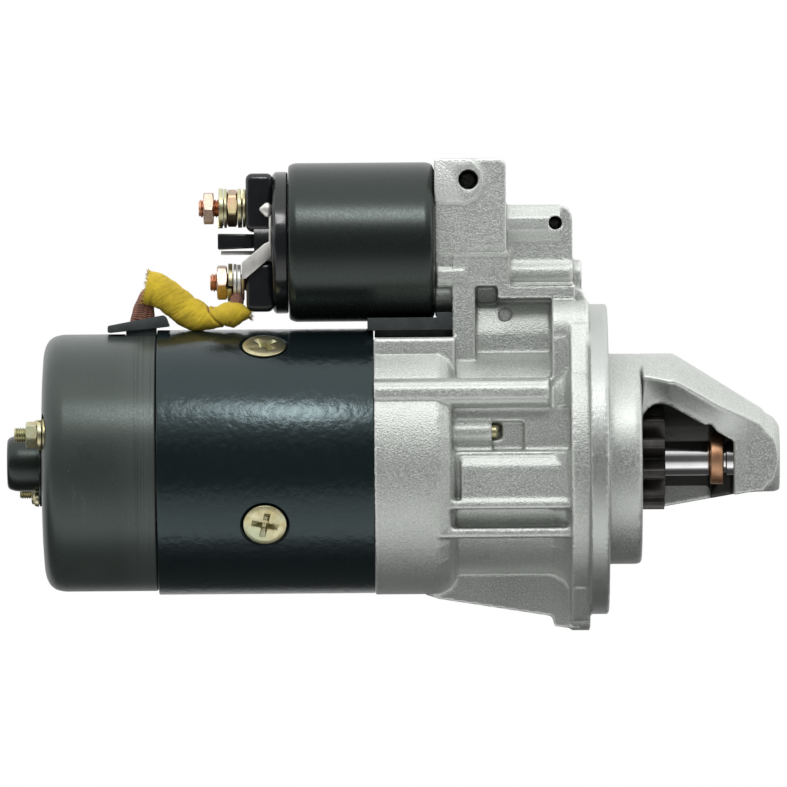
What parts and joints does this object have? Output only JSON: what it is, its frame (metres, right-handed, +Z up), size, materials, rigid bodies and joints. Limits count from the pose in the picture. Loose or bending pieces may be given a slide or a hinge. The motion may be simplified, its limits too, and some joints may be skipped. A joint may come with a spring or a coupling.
{
  "type": "starter motor",
  "caption": "Pre-engaged car starter motor with solenoid, cast drive end, open nose with pinion, and a black motor body.",
  "frame": {"origin": "motor axis at the mounting face of the drive-end flange", "axes": "+X along the motor axis out of the nose, +Z up from the motor axis to the solenoid axis, +Y to the far side of the nose, which is closed"},
  "size_m": [0.3266, 0.1312, 0.1998],
  "materials": {
    "cast_aluminium": "blasted casting with machined faces",
    "black_paint": "gloss, light orange peel",
    "satin_paint": "satin, scuffed",
    "steel": "ground",
    "dark_steel": "hardened and oiled",
    "yellow_zinc": "yellow passivated zinc plating",
    "copper": "bare copper, lightly tarnished",
    "bronze": "sintered bronze",
    "tin": "tinned",
    "black_plastic": "moulded, gloss",
    "rubber": "matte",
    "braid": "woven copper lead, brown",
    "yellow_cloth": "woven insulating sleeve",
    "carbon": "copper graphite",
    "lamination": "stacked steel sheet"
  },
  "bodies": {
    "frame": {"drive_end_housing": "cast_aluminium", "nose_bushing": "bronze", "centre_plate": "steel", "yoke_tube": "black_paint", "field_winding": "copper", "rear_cover": "satin_paint", "bearing_cap": "black_paint", "brush_plate": "steel", "solenoid_case": "black_paint", "solenoid_coil": "copper", "solenoid_core": "steel", "switch_cap": "black_plastic", "battery_terminal": "copper", "motor_terminal": "copper", "battery_washer": "yellow_zinc", "battery_nut_outer": "copper", "battery_nut_inner": "yellow_zinc", "motor_washer": "yellow_zinc", "motor_nut": "copper", "terminal_strap": "tin", "spade_terminal": "tin", "housing_seal": "rubber", "lead_grommet": "rubber", "field_lead": "braid", "lead_sleeve": "yellow_cloth", "lever_pivot_pin": "steel", "return_spring": "steel", "contact_spring": "steel", "pole_shoe_1": "lamination", "pole_screw_1": "yellow_zinc", "brush_1": "carbon", "pole_shoe_2": "lamination", "pole_screw_2": "yellow_zinc", "brush_2": "carbon", "pole_shoe_3": "lamination", "pole_screw_3": "yellow_zinc", "brush_3": "carbon", "pole_shoe_4": "lamination", "pole_screw_4": "yellow_zinc", "brush_4": "carbon", "cap_screw_1": "yellow_zinc", "through_bolt_1": "yellow_zinc", "through_bolt_washer_1": "yellow_zinc", "through_bolt_nut_1": "yellow_zinc", "cap_screw_2": "yellow_zinc", "through_bolt_2": "yellow_zinc", "through_bolt_washer_2": "yellow_zinc", "through_bolt_nut_2": "yellow_zinc"},
    "armature": {"armature_shaft": "steel", "armature_core": "lamination", "armature_winding": "copper", "commutator": "copper", "stop_collar": "bronze"},
    "drive": {"clutch_drive": "dark_steel", "guide_ring": "steel", "meshing_spring": "dark_steel"},
    "pinion_body": {"pinion": "dark_steel"},
    "lever": {"fork_lever": "steel"},
    "plunger_body": {"plunger": "steel"},
    "contact": {"contact_bridge": "copper"}
  },
  "joints": [
    {"name": "plunger_slide", "type": "slide", "parent": "frame", "child": "plunger_body", "axis": [-1, 0, 0], "range_m": [0, 0.0095], "stiffness_N_per_m": 900, "springref_m": -0.02, "deforming": ["return_spring"]},
    {"name": "lever_swing", "type": "hinge", "parent": "frame", "child": "lever", "pos_m": [-0.043, 0, 0.0612], "axis": [0, -1, 0], "range_deg": [0, 17.3]},
    {"name": "armature_spin", "type": "hinge", "parent": "frame", "child": "armature", "pos_m": [0, 0, 0], "axis": [1, 0, 0], "continuous": true},
    {"name": "drive_slide", "type": "slide", "parent": "armature", "child": "drive", "axis": [1, 0, 0], "range_m": [0, 0.0186]},
    {"name": "pinion_overrun", "type": "hinge", "parent": "drive", "child": "pinion_body", "pos_m": [0, 0, 0], "axis": [1, 0, 0], "continuous": true},
    {"name": "contact_slide", "type": "slide", "parent": "frame", "child": "contact", "axis": [-1, 0, 0], "range_m": [0, 0.0024], "deforming": ["contact_spring"]}
  ],
  "couplings": [
    {"joint": "lever_swing", "follows": "plunger_slide", "rad_per_m": 31.6},
    {"joint": "drive_slide", "follows": "plunger_slide", "ratio": 1.948},
    {"joint": "contact_slide", "follows": "plunger_slide", "ratio": 0.25}
  ]
}
